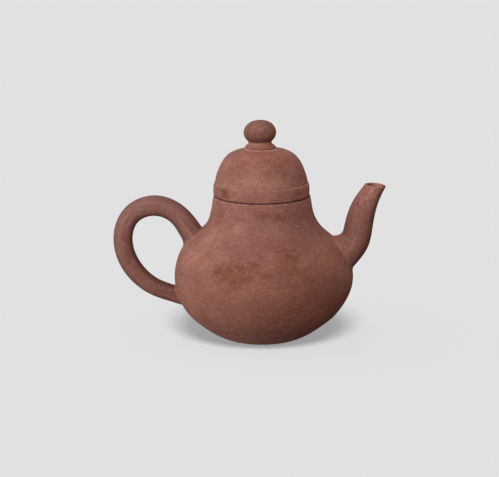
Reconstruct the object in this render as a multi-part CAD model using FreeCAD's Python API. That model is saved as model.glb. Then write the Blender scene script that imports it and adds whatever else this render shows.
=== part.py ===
"""An unglazed slab-built clay teapot: pear-shaped pot, ear handle, two-bend spout and domed lid.

Lengths are in millimetres. The origin is the middle of the foot, on the table, and +Z is up.
The spout points along +X and the handle along -X. Each clay piece that the potter makes and
lutes on with slip is a separate solid, written to its own file.
"""

import FreeCAD
import Part
import math
import os

from FreeCAD import Vector

# Pot outline, from the foot to the rim: radii, and the rise from each point to the next
FOOT_R = 14.6
BOWL_R = 28.4
BELLY_R = 37.7
SHOULDER_R = 30.7
NECK_R = 23.0
RIM_R = 20.4
BOWL_RISE = 8.0
BELLY_RISE = 19.0
SHOULDER_RISE = 15.5
NECK_RISE = 7.5
RIM_RISE = 11.5
FOOT_FLARE = 2.3
RIM_LEAN = 0.22

# Pot wall, base and mouth
WALL = 2.6
FOOT_RING = 2.6
BASE_RECESS = 0.6
BASE_THICKNESS = 2.6
MOUTH_RING_WIDTH = 1.4
MOUTH_RING_HEIGHT = 5.0
EDGE_ROUND = 0.35

# Lid: locating flange, seat ring, outer band and dome
LID_CLEARANCE = 0.3
FLANGE_WALL = 2.2
FLANGE_DEPTH = 8.0
SEAT_THICKNESS = 2.2
BAND_HEIGHT = 5.8
BAND_TAPER = 0.6
BAND_STEP = 0.25
LID_WALL = 2.4
DOME_SIDE_IN = 1.3
DOME_SIDE_RISE = 5.0
DOME_TURN_IN = 4.6
DOME_TURN_RISE = 6.7
DOME_CROWN_RISE = 1.9

# Knob: spreading seat, ball and air hole
KNOB_SEAT_FOOT_R = 6.0
KNOB_SEAT_R = 6.4
KNOB_SEAT_EDGE = 1.3
KNOB_NECK_R = 4.9
KNOB_SEAT_HEIGHT = 3.6
KNOB_R = 6.8
KNOB_HALF_HEIGHT = 5.45
AIR_HOLE_R = 1.0

# Spout: its root on the belly, the bend, and the lip above the rim
SPOUT_ROOT_RISE = 10.4
SPOUT_ROOT_R = 7.5
SPOUT_ELBOW_OUT = 1.2
SPOUT_ELBOW_RISE = 14.9
SPOUT_ELBOW_R = 6.0
SPOUT_STEM_OUT = 2.9
SPOUT_STEM_RISE = 21.0
SPOUT_STEM_R = 5.7
SPOUT_BEND_OUT = 5.9
SPOUT_BEND_DROP = 3.4
SPOUT_BEND_R = 4.85
SPOUT_LIP_OUT = 10.3
SPOUT_LIP_LIFT = 4.1
SPOUT_LIP_R = 3.75
SPOUT_LIP_TILT = 6.0
SPOUT_LIP_WALL = 1.0
SPOUT_ROOT_WALL = 2.4
STRAINER_HOLE_R = 1.1
STRAINER_RING_R = 3.3
STRAINER_RING_HOLES = 6

# Handle: its two roots on the pot, and the loop between them
HANDLE_TOP_ROOT_RISE = 16.9
HANDLE_TOP_ROOT_R = 5.4
HANDLE_SHOULDER_IN = 2.2
HANDLE_SHOULDER_RISE = 25.8
HANDLE_SHOULDER_R = 4.35
HANDLE_CREST_OUT = 7.8
HANDLE_CREST_RISE = 30.0
HANDLE_CREST_R = 4.2
HANDLE_BACK_OUT = 17.3
HANDLE_BACK_RISE = 26.0
HANDLE_BACK_R = 4.1
HANDLE_REACH = 21.0
HANDLE_REACH_RISE = 16.3
HANDLE_REACH_R = 3.95
HANDLE_SWEEP_OUT = 16.8
HANDLE_SWEEP_RISE = 3.0
HANDLE_SWEEP_R = 3.75
HANDLE_RETURN_OUT = 6.8
HANDLE_RETURN_DROP = 5.5
HANDLE_RETURN_R = 3.35
HANDLE_LOW_ROOT_DROP = 8.4
HANDLE_LOW_ROOT_R = 3.4

# Heights that follow from the rises
BOWL_Z = BOWL_RISE
BELLY_Z = BOWL_Z + BELLY_RISE
SHOULDER_Z = BELLY_Z + SHOULDER_RISE
NECK_Z = SHOULDER_Z + NECK_RISE
RIM_Z = NECK_Z + RIM_RISE
FLOOR_Z = BASE_RECESS + BASE_THICKNESS
BAND_TOP_Z = RIM_Z + BAND_HEIGHT
CROWN_Z = BAND_TOP_Z + DOME_SIDE_RISE + DOME_TURN_RISE + DOME_CROWN_RISE
KNOB_Z = CROWN_Z + KNOB_SEAT_HEIGHT

# Radii that follow from the fits
BASE_R = FOOT_R - FOOT_RING
MOUTH_R = RIM_R - WALL - MOUTH_RING_WIDTH
FLANGE_R = MOUTH_R - LID_CLEARANCE
FLANGE_BORE_R = FLANGE_R - FLANGE_WALL
BAND_TOP_R = RIM_R - BAND_TAPER
DOME_R = BAND_TOP_R - BAND_STEP
LID_INNER_R = DOME_R - LID_WALL

FULL_TURN = 360.0
AXIS = Vector(0, 0, 1)
ORIGIN = Vector(0, 0, 0)
REACH = 4 * (BELLY_R + RIM_Z)
SECTIONS_PER_SPAN = 2
TOLERANCE = 1e-9


def at(r, z):
    """A point of a half section, at radius r and height z."""
    return Vector(r, 0, z)


def line(a, b):
    """A straight edge."""
    return Part.LineSegment(a, b).toShape()


def arc(a, middle, b):
    """A circular edge through three points."""
    return Part.Arc(a, middle, b).toShape()


def polyline(*points):
    """Straight edges from each point to the next."""
    return [line(a, b) for a, b in zip(points, points[1:])]


def smooth(points, start=None, end=None):
    """A smooth curve through the points, with end directions if they are given."""
    curve = Part.BSplineCurve()
    if start is None:
        curve.interpolate(points)
    else:
        curve.interpolate(Points=points, InitialTangent=start, FinalTangent=end)
    return curve


def turned(edges):
    """The solid made by turning a closed half section about the Z axis."""
    face = Part.Face(Part.Wire(Part.__sortEdges__(edges)))
    solid = face.revolve(ORIGIN, AXIS, FULL_TURN)
    return Part.Solid(solid.Shells[0]) if solid.ShapeType != "Solid" else solid


def ring(inner_r, outer_r, low_z, high_z):
    """A plain ring with flat ends."""
    return turned(polyline(at(inner_r, low_z), at(outer_r, low_z), at(outer_r, high_z),
                           at(inner_r, high_z), at(inner_r, low_z)))


def slab(low_z, high_z):
    """Everything between two heights."""
    corner = Vector(-REACH / 2, -REACH / 2, low_z)
    return Part.makeBox(REACH, REACH, high_z - low_z, corner)


def offset_points(curve, distance):
    """The curve's knots moved inwards, to the left of an outline that runs upwards."""
    moved = []
    for knot in curve.getKnots():
        along = curve.tangent(knot)[0]
        inwards = Vector(-along.z, 0, along.x)
        moved.append(curve.value(knot) + inwards * distance)
    return moved


def offset_curve(curve, distance):
    """A smooth curve a steady distance inside an outline that runs upwards."""
    start = curve.tangent(curve.FirstParameter)[0]
    end = curve.tangent(curve.LastParameter)[0]
    return smooth(offset_points(curve, distance), start, end)


def pot_outline():
    """The outer outline of the pot, from the foot to just under the rim's rounded edge."""
    points = [at(FOOT_R, 0), at(BOWL_R, BOWL_Z), at(BELLY_R, BELLY_Z), at(SHOULDER_R, SHOULDER_Z),
              at(NECK_R, NECK_Z), at(RIM_R, RIM_Z - EDGE_ROUND)]
    return smooth(points, at(FOOT_FLARE, 1), at(-RIM_LEAN, 1))


def where(curve, measure, level):
    """The point of a curve where a measure that grows along it reaches a level, by halving."""
    low = curve.FirstParameter
    high = curve.LastParameter
    while high - low > TOLERANCE:
        middle = (low + high) / 2
        if measure(curve.value(middle)) < level:
            low = middle
        else:
            high = middle
    return curve.value(low)


def outline_radius(curve, height):
    """The radius of an outline that runs upwards, at a height."""
    return where(curve, lambda point: point.z, height).x


def pot_outside(outline):
    """The pot as if it were a solid lump, with the rim's outer edge rounded over."""
    edge_centre = at(RIM_R - EDGE_ROUND, RIM_Z - EDGE_ROUND)
    lean = EDGE_ROUND * math.sqrt(0.5)
    rim_edge = arc(at(RIM_R, RIM_Z - EDGE_ROUND), edge_centre + at(lean, lean),
                   at(RIM_R - EDGE_ROUND, RIM_Z))
    sides = polyline(at(RIM_R - EDGE_ROUND, RIM_Z), at(0, RIM_Z), ORIGIN, at(FOOT_R, 0))
    return turned([outline.toShape(), rim_edge] + sides)


def pot_hollow(outline):
    """The space inside the pot, one wall in from the outline and level at the floor."""
    inner = offset_curve(outline, WALL)
    low = inner.value(inner.FirstParameter)
    high = inner.value(inner.LastParameter)
    above = RIM_Z + WALL
    edges = [inner.toShape()]
    edges += polyline(high, at(high.x, above), at(0, above), at(0, low.z), low)
    return turned(edges).common(slab(FLOOR_Z, above))


def base_disc():
    """The round base, luted inside the foot a little above the table."""
    return Part.makeCylinder(BASE_R, BASE_THICKNESS, at(0, BASE_RECESS), AXIS)


def strainer_holes(root, direction):
    """One hole in the middle and a ring of holes round it, pierced along the spout's root."""
    across = direction.cross(Vector(0, 1, 0))
    centres = [root]
    for step in range(STRAINER_RING_HOLES):
        turn = 2 * math.pi * step / STRAINER_RING_HOLES
        side = Vector(0, 1, 0) * math.cos(turn) + across * math.sin(turn)
        centres.append(root + side * STRAINER_RING_R)
    depth = BELLY_R / 2
    start = direction * (-depth)
    drills = [Part.makeCylinder(STRAINER_HOLE_R, 2 * depth, centre + start, direction)
              for centre in centres]
    return Part.makeCompound(drills)


def body_wall(shell, spout_root, spout_direction):
    """The paddled belt of clay from the foot to the neck joint, pierced behind the spout."""
    belt = shell.common(slab(0, NECK_Z))
    belt = belt.cut(Part.makeCylinder(BASE_R, FLOOR_Z, ORIGIN, AXIS))
    return belt.cut(strainer_holes(spout_root, spout_direction))


def neck_wall(shell):
    """The strip of clay that makes the neck, from the neck joint to the rim."""
    return shell.common(slab(NECK_Z, RIM_Z))


def mouth_ring(hollow):
    """The ring that thickens the mouth from inside, so that the lid has a seat and a bore."""
    return ring(MOUTH_R, RIM_R, RIM_Z - MOUTH_RING_HEIGHT, RIM_Z).common(hollow)


def tube(points, radii):
    """A round tube through points of the XZ plane, with a radius at each point."""
    path = smooth(points)
    stations = path.getKnots()
    thickness = smooth([Vector(u, r, 0) for u, r in zip(stations, radii)])
    sections = []
    for n in range(SECTIONS_PER_SPAN * (len(points) - 1) + 1):
        span, part = divmod(n, SECTIONS_PER_SPAN)
        u = stations[span]
        if part:
            u += (stations[span + 1] - stations[span]) * part / SECTIONS_PER_SPAN
        along = path.tangent(u)[0]
        side = Vector(0, 1, 0)
        radius = where(thickness, lambda point: point.x, u).y
        circle = Part.Wire(Part.makeCircle(radius))
        turn = FreeCAD.Rotation(side, along.cross(side), along, "ZXY")
        circle.Placement = FreeCAD.Placement(path.value(u), turn)
        sections.append(circle)
    return Part.makeLoft(sections, True, False)


def spout_route(outline):
    """The spout's middle line from inside the wall to past the lip, with its outer radii."""
    root_z = BELLY_Z + SPOUT_ROOT_RISE
    root = at(outline_radius(outline, root_z), root_z)
    elbow = at(BELLY_R + SPOUT_ELBOW_OUT, BELLY_Z + SPOUT_ELBOW_RISE)
    stem = at(BELLY_R + SPOUT_STEM_OUT, BELLY_Z + SPOUT_STEM_RISE)
    bend = at(BELLY_R + SPOUT_BEND_OUT, RIM_Z - SPOUT_BEND_DROP)
    lip = at(BELLY_R + SPOUT_LIP_OUT, RIM_Z + SPOUT_LIP_LIFT)
    direction = (elbow - root).normalize()
    inside = root - direction * SPOUT_ROOT_R
    past = lip + (lip - bend).normalize() * SPOUT_LIP_R
    points = [inside, root, elbow, stem, bend, lip, past]
    radii = [SPOUT_ROOT_R, SPOUT_ROOT_R, SPOUT_ELBOW_R, SPOUT_STEM_R, SPOUT_BEND_R, SPOUT_LIP_R,
             SPOUT_LIP_R]
    return points, radii


def spout(outline, outside):
    """The hollow spout, fitted to the belly and cut nearly level at the lip."""
    points, radii = spout_route(outline)
    last = len(points) - 1
    bores = []
    for n, r in enumerate(radii):
        share = n / last
        bores.append(r - SPOUT_ROOT_WALL * (1 - share) - SPOUT_LIP_WALL * share)
    shell = tube(points, radii).cut(tube(points, bores))
    lip = points[-2]
    trim = Part.makeBox(REACH, REACH, REACH, lip - Vector(REACH / 2, REACH / 2, 0))
    trim.rotate(lip, Vector(0, 1, 0), SPOUT_LIP_TILT)
    return shell.cut(outside).cut(trim)


def handle(outline, outside):
    """The ear-shaped handle, a rolled coil of clay thicker at its upper root."""
    top_z = BELLY_Z + HANDLE_TOP_ROOT_RISE
    low_z = BELLY_Z - HANDLE_LOW_ROOT_DROP
    top = at(-outline_radius(outline, top_z), top_z)
    low = at(-outline_radius(outline, low_z), low_z)
    loop = [at(-BELLY_R + HANDLE_SHOULDER_IN, BELLY_Z + HANDLE_SHOULDER_RISE),
            at(-BELLY_R - HANDLE_CREST_OUT, BELLY_Z + HANDLE_CREST_RISE),
            at(-BELLY_R - HANDLE_BACK_OUT, BELLY_Z + HANDLE_BACK_RISE),
            at(-BELLY_R - HANDLE_REACH, BELLY_Z + HANDLE_REACH_RISE),
            at(-BELLY_R - HANDLE_SWEEP_OUT, BELLY_Z + HANDLE_SWEEP_RISE),
            at(-BELLY_R - HANDLE_RETURN_OUT, BELLY_Z - HANDLE_RETURN_DROP)]
    above = top + (top - loop[0]).normalize() * HANDLE_TOP_ROOT_R
    below = low + (low - loop[-1]).normalize() * HANDLE_LOW_ROOT_R
    radii = [HANDLE_TOP_ROOT_R, HANDLE_TOP_ROOT_R, HANDLE_SHOULDER_R, HANDLE_CREST_R, HANDLE_BACK_R,
             HANDLE_REACH_R, HANDLE_SWEEP_R, HANDLE_RETURN_R, HANDLE_LOW_ROOT_R, HANDLE_LOW_ROOT_R]
    return tube([above, top] + loop + [low, below], radii).cut(outside)


def lid_flange():
    """The upright ring under the lid that locates it in the mouth."""
    return ring(FLANGE_BORE_R, FLANGE_R, RIM_Z - FLANGE_DEPTH, RIM_Z)


def lid_seat_ring():
    """The flat ring that closes the lid's underside and carries the flange."""
    return ring(FLANGE_BORE_R, LID_INNER_R, RIM_Z, RIM_Z + SEAT_THICKNESS)


def lid_band():
    """The band round the lid's lower edge, with both outer edges rounded."""
    lean = EDGE_ROUND * math.sqrt(0.5)
    low_centre = at(RIM_R - EDGE_ROUND, RIM_Z + EDGE_ROUND)
    low_edge = arc(at(RIM_R - EDGE_ROUND, RIM_Z), low_centre + at(lean, -lean),
                   at(RIM_R, RIM_Z + EDGE_ROUND))
    side = line(at(RIM_R, RIM_Z + EDGE_ROUND), at(BAND_TOP_R, BAND_TOP_Z - BAND_STEP))
    high_centre = at(DOME_R, BAND_TOP_Z - BAND_STEP)
    lift = BAND_STEP * math.sqrt(0.5)
    high_edge = arc(at(BAND_TOP_R, BAND_TOP_Z - BAND_STEP), high_centre + at(lift, lift),
                    at(DOME_R, BAND_TOP_Z))
    inside = polyline(at(DOME_R, BAND_TOP_Z), at(LID_INNER_R, BAND_TOP_Z), at(LID_INNER_R, RIM_Z),
                      at(RIM_R - EDGE_ROUND, RIM_Z))
    return turned([low_edge, side, high_edge] + inside)


def lid_dome():
    """The domed slab of the lid, hollow below, with a flat for the knob and the air hole."""
    side = at(DOME_R - DOME_SIDE_IN, BAND_TOP_Z + DOME_SIDE_RISE)
    turn = side + at(-DOME_TURN_IN, DOME_TURN_RISE)
    crown = at(KNOB_SEAT_R, CROWN_Z)
    outer = smooth([at(DOME_R, BAND_TOP_Z), side, turn, crown], AXIS, Vector(-1, 0, 0))
    inner = offset_curve(outer, LID_WALL)
    inner_crown = inner.value(inner.LastParameter)
    top = polyline(crown, at(AIR_HOLE_R, CROWN_Z), at(AIR_HOLE_R, inner_crown.z), inner_crown)
    foot = line(at(LID_INNER_R, BAND_TOP_Z), at(DOME_R, BAND_TOP_Z))
    return turned([outer.toShape(), inner.toShape(), foot] + top)


def knob_seat():
    """The spreading seat under the knob, with an undercut edge."""
    edge = arc(at(KNOB_SEAT_FOOT_R, CROWN_Z), at(KNOB_SEAT_R, CROWN_Z + KNOB_SEAT_EDGE / 2),
               at(KNOB_SEAT_FOOT_R, CROWN_Z + KNOB_SEAT_EDGE))
    slope = smooth([at(KNOB_SEAT_FOOT_R, CROWN_Z + KNOB_SEAT_EDGE), at(KNOB_NECK_R, KNOB_Z)],
                   Vector(-1, 0, 1), Vector(0, 0, 1)).toShape()
    core = polyline(at(KNOB_NECK_R, KNOB_Z), at(AIR_HOLE_R, KNOB_Z), at(AIR_HOLE_R, CROWN_Z),
                    at(KNOB_SEAT_FOOT_R, CROWN_Z))
    return turned([edge, slope] + core)


def knob():
    """The flattened ball of the knob, drilled down its middle for air."""
    def on_ball(angle):
        return at(KNOB_R * math.cos(angle), centre_z + KNOB_HALF_HEIGHT * math.sin(angle))

    low_angle = -math.acos(KNOB_NECK_R / KNOB_R)
    high_angle = math.acos(AIR_HOLE_R / KNOB_R)
    centre_z = KNOB_Z - KNOB_HALF_HEIGHT * math.sin(low_angle)
    steps = 8
    skin = smooth([on_ball(low_angle + (high_angle - low_angle) * n / steps) for n in range(steps + 1)])
    top = on_ball(high_angle)
    core = polyline(top, at(AIR_HOLE_R, KNOB_Z), at(KNOB_NECK_R, KNOB_Z))
    return turned([skin.toShape()] + core)


def pieces():
    """Every clay piece by name."""
    outline = pot_outline()
    outside = pot_outside(outline)
    hollow = pot_hollow(outline)
    shell = outside.cut(hollow)
    route = spout_route(outline)[0]
    spout_root = route[1]
    spout_direction = (route[2] - route[1]).normalize()
    return {
        "base_disc": base_disc(),
        "body_wall": body_wall(shell, spout_root, spout_direction),
        "neck_wall": neck_wall(shell),
        "mouth_ring": mouth_ring(hollow),
        "spout": spout(outline, outside),
        "handle": handle(outline, outside),
        "lid_flange": lid_flange(),
        "lid_seat_ring": lid_seat_ring(),
        "lid_band": lid_band(),
        "lid_dome": lid_dome(),
        "knob_seat": knob_seat(),
        "knob": knob(),
    }


os.makedirs("parts", exist_ok=True)
for name, shape in pieces().items():
    solids = shape.Solids
    print(f"{name}: {len(solids)} solid, {shape.Volume:.1f} mm3, valid {shape.isValid()}")
    Part.makeCompound(solids).exportStep(f"parts/{name}.step")
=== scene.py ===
"""Looks for an unglazed slab-built clay teapot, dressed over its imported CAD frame.

The clay skin is built here in mesh code on the outlines of the CAD model, with the small unevenness
of the photographed pot, so it lies up to about 1 mm off the solids, and up to 2 mm in the smoothed clay
at the roots of the spout and the handle. Each piece replaces its own CAD node and rides on its body.
"""

import bmesh
import bpy
import math
import numpy as np
from mathutils import Matrix, Vector


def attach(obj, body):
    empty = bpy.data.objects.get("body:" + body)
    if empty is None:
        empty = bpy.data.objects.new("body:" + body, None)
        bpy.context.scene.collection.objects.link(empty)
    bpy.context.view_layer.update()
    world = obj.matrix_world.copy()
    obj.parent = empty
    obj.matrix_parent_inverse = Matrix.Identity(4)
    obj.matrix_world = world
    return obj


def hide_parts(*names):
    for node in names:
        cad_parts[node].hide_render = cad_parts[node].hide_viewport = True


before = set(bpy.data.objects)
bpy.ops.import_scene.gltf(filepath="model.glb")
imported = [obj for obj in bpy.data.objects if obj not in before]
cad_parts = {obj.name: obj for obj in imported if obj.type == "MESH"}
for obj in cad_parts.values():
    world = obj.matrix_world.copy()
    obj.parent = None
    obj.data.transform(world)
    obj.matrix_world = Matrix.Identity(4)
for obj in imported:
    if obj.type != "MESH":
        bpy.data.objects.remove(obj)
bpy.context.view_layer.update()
MM = 0.001

# Sizes of the pot in millimetres: R is a radius, Z a height, EDGE a rounding
FOOT_R, BOWL_R, BELLY_R, SHOULDER_R, NECK_R, RIM_R = 14.6, 28.4, 37.7, 30.7, 23.0, 20.4
BOWL_Z, BELLY_Z, SHOULDER_Z, NECK_Z, RIM_Z = 8.0, 27.0, 42.5, 50.0, 61.5
WALL, EDGE, BASE_R, BASE_Z, FLOOR_Z = 2.6, 0.35, 12.0, 0.6, 3.2
FOOT_FLAT_R, FOOT_EDGE_Z = 13.4, 0.9
MOUTH_R, MOUTH_LOW_Z, MOUTH_EDGE = 16.4, 56.5, 0.5
FLANGE_IN_R, FLANGE_R, FLANGE_LOW_Z, FLANGE_EDGE = 13.9, 16.1, 53.5, 0.5
SEAT_R, SEAT_TOP_Z = 17.1, 63.7
BAND_IN_R, BAND_R, BAND_EDGE, BAND_TOP_Z = 17.15, 20.2, 0.5, 67.3
LID_WALL, SEAM, AIR_R = 2.4, 0.16, 1.0
CROWN_EDGE = (6.15, 81.9)
KNOB_Z, KNOB_R, KNOB_FOOT_R, KNOB_TOP_R = 84.5, 6.8, 4.9, 1.3
KNOB_LOW, KNOB_HIGH = 5.45, 5.2
STRAINER_R, STRAINER_RING_R, STRAINER_HOLES, DRILL_LENGTH = 1.1, 3.3, 7, 38.0
LIP_WALL, ROOT_WALL, LIP_EDGE = 0.95, 2.4, 0.3

# Fineness of the meshes: steps round a turned piece and round a tube, and rows of a smoothed joint
SEGMENTS, TURNS, ROOT_ROWS = 288, 96, 14

# Angles in degrees above which an edge stays sharp
SHARP, TUBE_SHARP = 38.0, 60.0

# Small distances in millimetres: a step for measuring slopes, how deep a joint's edge sits in the
# wall, and points that count as one
PROBE, SINK, SAME = 0.05, 0.03, 0.02


def spline(points, start=None, end=None):
    """A smooth cubic through the points, by chord length, with end directions if given."""
    p = np.asarray(points, float)
    h = np.linalg.norm(np.diff(p, axis=0), axis=1)
    t = np.concatenate([[0], np.cumsum(h)])
    n = len(p)
    a = np.zeros((n, n))
    b = np.zeros((n, p.shape[1]))
    for i in range(1, n - 1):
        a[i, i - 1] = h[i]
        a[i, i] = 2 * (h[i - 1] + h[i])
        a[i, i + 1] = h[i - 1]
        b[i] = 3 * (h[i] * (p[i] - p[i - 1]) / h[i - 1] + h[i - 1] * (p[i + 1] - p[i]) / h[i])
    if start is None:
        a[0, 0], a[0, 1] = 2, 1
        b[0] = 3 * (p[1] - p[0]) / h[0]
        a[-1, -1], a[-1, -2] = 2, 1
        b[-1] = 3 * (p[-1] - p[-2]) / h[-1]
    else:
        a[0, 0] = a[-1, -1] = 1
        b[0] = np.asarray(start, float) / np.linalg.norm(start)
        b[-1] = np.asarray(end, float) / np.linalg.norm(end)
    d = np.linalg.solve(a, b)

    def value(u):
        u = np.clip(np.atleast_1d(np.asarray(u, float)), 0, t[-1])
        k = np.clip(np.searchsorted(t, u, side="right") - 1, 0, n - 2)
        s = ((u - t[k]) / h[k])[:, None]
        hk = h[k][:, None]
        return ((2 * s**3 - 3 * s**2 + 1) * p[k] + (s**3 - 2 * s**2 + s) * hk * d[k]
                + (3 * s**2 - 2 * s**3) * p[k + 1] + (s**3 - s**2) * hk * d[k + 1])

    return value, t


def sample(points, count, start=None, end=None):
    """Evenly spaced points of a smooth outline."""
    value, t = spline(points, start, end)
    fine = value(np.linspace(0, t[-1], 40 * count))
    run = np.concatenate([[0], np.cumsum(np.linalg.norm(np.diff(fine, axis=0), axis=1))])
    want = np.linspace(0, run[-1], count)
    return np.stack([np.interp(want, run, fine[:, k]) for k in range(fine.shape[1])], 1)


def arc(cx, cz, r, a0, a1, count=7):
    """Points of a rounded edge, angles in degrees from +r."""
    a = np.radians(np.linspace(a0, a1, count))
    return np.stack([cx + r * np.cos(a), cz + r * np.sin(a)], 1)


# The hand-made unevenness of the pot and of its lid
def swell(z, height, reach):
    """1 at a height, falling smoothly to 0 on both sides of it."""
    return np.exp(-((z - height) / reach) ** 2)


def rise(value, low, high):
    """0 up to low, 1 from high, and an even slope between them."""
    return np.clip((value - low) / (high - low), 0, 1)


def lean(z):
    """How far the pot's middle line stands towards the spout at a height."""
    return 0.92 * swell(z, BELLY_Z, 12.0) + 0.3 * swell(z, 49.5, 3.5)


def round_error(angle, z):
    """How far the belly's wall stands out of true at an angle and a height."""
    calm = rise(z, 1.0, 9.0) * (1 - rise(z, 46.0, 56.0))
    wave = 0.16 * np.sin(2 * angle + 0.8) + 0.10 * np.sin(3 * angle + 2.1 + z / 15.0)
    dents = 0.06 * np.sin(7 * angle + z / 4.0) * np.sin(z / 5.5 + 1.3)
    fuller = 0.26 * swell(z, NECK_Z, 5.0) - 0.42 * swell(z, 7.0, 3.0) + 0.32 * swell(z, 2.0, 1.8)
    return calm * (wave + dents - 0.03) + fuller


def uneven(r, angle, z):
    """Points of the pot's wall at a radius, an angle and a height."""
    grown = r + round_error(angle, z) * rise(r, BASE_R, BASE_R + 3.0)
    return np.stack([lean(z) + grown * np.cos(angle), grown * np.sin(angle), z], -1)


def lid_uneven(r, angle, z):
    """Points of the lid, which sits a little towards the handle, its knob more so."""
    shift = -0.22 - 0.4 * rise(z, 76.0, 82.0) - 0.25 * rise(z, 81.0, 84.0)
    calm = rise(z, 63.0, 68.0) * rise(r, 0.0, 10.0)
    grown = r + calm * (0.09 * np.sin(2 * angle + 2.4) + 0.05 * np.sin(5 * angle + z / 3.0))
    gape = 0.12 * np.clip(np.cos(angle - 0.5), 0, 1) * (1 - rise(z, RIM_Z, 64.5))
    lift = gape + 0.016 * r * np.cos(angle) * rise(z, 76.0, 80.0)
    return np.stack([shift + grown * np.cos(angle), grown * np.sin(angle), z + lift], -1)


def true_round(r, angle, z):
    """Points of a piece that is turned true."""
    return np.stack([r * np.cos(angle), r * np.sin(angle), z], -1)


# Mesh makers
def make_object(name, points, faces, sharp=SHARP, brush=None, root=None):
    """A smooth mesh in metres from points in millimetres.

    brush gives the way its clay was stroked, and root how near a point is to a smoothed joint.
    """
    mesh = bpy.data.meshes.new(name)
    mesh.from_pydata((np.asarray(points) * MM).tolist(), [], faces)
    if brush is not None:
        stroke = mesh.attributes.new("brush", "FLOAT_VECTOR", "POINT")
        stroke.data.foreach_set("vector", (brush * MM).ravel())
        mesh.attributes.new("root", "FLOAT", "POINT").data.foreach_set("value", root)
    mesh.update()
    mesh.shade_smooth()
    mesh.set_sharp_from_angle(angle=math.radians(sharp))
    piece = bpy.data.objects.new(name, mesh)
    bpy.context.scene.collection.objects.link(piece)
    return piece


def grid_faces(rows, columns, closed=True, flip=False):
    """Faces of a grid whose columns go once round.

    closed joins the last row to the first; otherwise a face fills each end. flip turns the
    faces over.
    """
    faces = []
    for i in range(rows if closed else rows - 1):
        a = i * columns
        b = ((i + 1) % rows) * columns
        for j in range(columns):
            k = (j + 1) % columns
            faces.append((a + j, a + k, b + k, b + j))
    if not closed:
        faces += [tuple(range(columns))[::-1], tuple(range((rows - 1) * columns, rows * columns))]
    return [face[::-1] for face in faces] if flip else faces


def turned(name, outline, place, closed=True):
    """A mesh turned from a half section whose points run anticlockwise seen with +r to the right."""
    angle = 2 * math.pi * np.arange(SEGMENTS) / SEGMENTS
    r = np.repeat(outline[:, :1], SEGMENTS, 1)
    z = np.repeat(outline[:, 1:], SEGMENTS, 1)
    points = place(r, np.broadcast_to(angle, r.shape), z).reshape(-1, 3)
    return make_object(name, points, grid_faces(len(outline), SEGMENTS, closed))


def offset(outline, distance):
    """An outline moved to its left, inwards where it runs upwards."""
    step = np.gradient(outline, axis=0)
    step /= np.linalg.norm(step, axis=1)[:, None]
    return outline + distance * np.stack([-step[:, 1], step[:, 0]], 1)


def bend(a, corner, b, count):
    """Points of a rounded corner from a to b."""
    a = np.asarray(a, float)
    t = np.linspace(0, 1, count).reshape((-1,) + (1,) * a.ndim)
    return (1 - t) ** 2 * a + 2 * t * (1 - t) * np.asarray(corner) + t**2 * np.asarray(b)


def clean(*runs):
    """Runs of points joined into one outline, without repeats."""
    every = np.concatenate([np.atleast_2d(run) for run in runs])
    keep = [every[0]]
    for p in every[1:]:
        if np.linalg.norm(p - keep[-1]) > SAME:
            keep.append(p)
    return np.array(keep)


def between(outline, low, high):
    """The stretch of a rising outline between two heights, with both ends exactly on them."""
    order = np.argsort(outline[:, 1])
    inside = (outline[:, 1] > low + 0.12) & (outline[:, 1] < high - 0.12)
    ends = [np.array([np.interp(h, outline[order, 1], outline[order, 0]), h])
            for h in (low, low + 0.06, high - 0.06, high)]
    return np.concatenate([ends[:2], outline[inside], ends[2:]])


# Pot wall
POT = sample([(FOOT_R, 0), (BOWL_R, BOWL_Z), (BELLY_R, BELLY_Z), (SHOULDER_R, SHOULDER_Z),
              (NECK_R, NECK_Z), (RIM_R, RIM_Z - EDGE)], 190, (2.3, 1), (-0.22, 1))
INSIDE = offset(POT, WALL)
POT_R = (np.append(POT[:, 0], RIM_R), np.append(POT[:, 1], RIM_Z))

shown = between(POT, FOOT_EDGE_Z, NECK_Z)
body = clean([(BASE_R, 0.0)], bend((FOOT_FLAT_R, 0.0), (FOOT_R, 0.0), shown[0], 10), shown,
             between(INSIDE, FLOOR_Z, NECK_Z)[::-1], [(BASE_R, FLOOR_Z)])
neck_in = between(INSIDE, NECK_Z, INSIDE[-1, 1] - 0.01)[::-1]
neck_outer = between(POT, NECK_Z, RIM_Z - EDGE)
rim = bend((RIM_R, RIM_Z - EDGE), (RIM_R, RIM_Z), (RIM_R - 0.6, RIM_Z), 8)
neck = clean(neck_outer, rim, [(neck_in[0, 0], RIM_Z)], neck_in)

body_wall = turned("clay_belly", body, uneven)
neck_wall = turned("clay_neck", neck, uneven)
base = clean([(0.5, BASE_Z), (BASE_R - 1.0, BASE_Z)], arc(BASE_R - 0.3, BASE_Z + 0.3, 0.3, -90, 0),
             [(BASE_R, FLOOR_Z), (0.5, FLOOR_Z)])
base_disc = turned("clay_base", base, true_round, closed=False)
mouth = between(INSIDE, MOUTH_LOW_Z, INSIDE[-1, 1] - 0.01)
mouth_ring = turned("clay_mouth_ring", clean(
    arc(MOUTH_R + MOUTH_EDGE, MOUTH_LOW_Z + MOUTH_EDGE, MOUTH_EDGE, 180, 270), mouth,
    [(mouth[-1, 0], RIM_Z)], arc(MOUTH_R + 0.3, RIM_Z - 0.3, 0.3, 90, 180)), true_round)


def wall_radius(angle, z):
    """The radius of the pot's outer wall at an angle and a height."""
    return np.interp(z, POT_R[1], POT_R[0]) + round_error(angle, z)


def outside_gap(p):
    """How far points stand outside the pot's wall, measured level."""
    x = p[..., 0] - lean(p[..., 2])
    angle = np.arctan2(p[..., 1], x)
    return np.hypot(x, p[..., 1]) - wall_radius(angle, p[..., 2])


def wall_normal(p):
    """The outward direction of the pot's wall near points."""
    grad = np.stack([(outside_gap(p + e) - outside_gap(p - e)) for e in np.eye(3) * PROBE], -1)
    return grad / np.linalg.norm(grad, axis=-1)[..., None]


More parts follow.
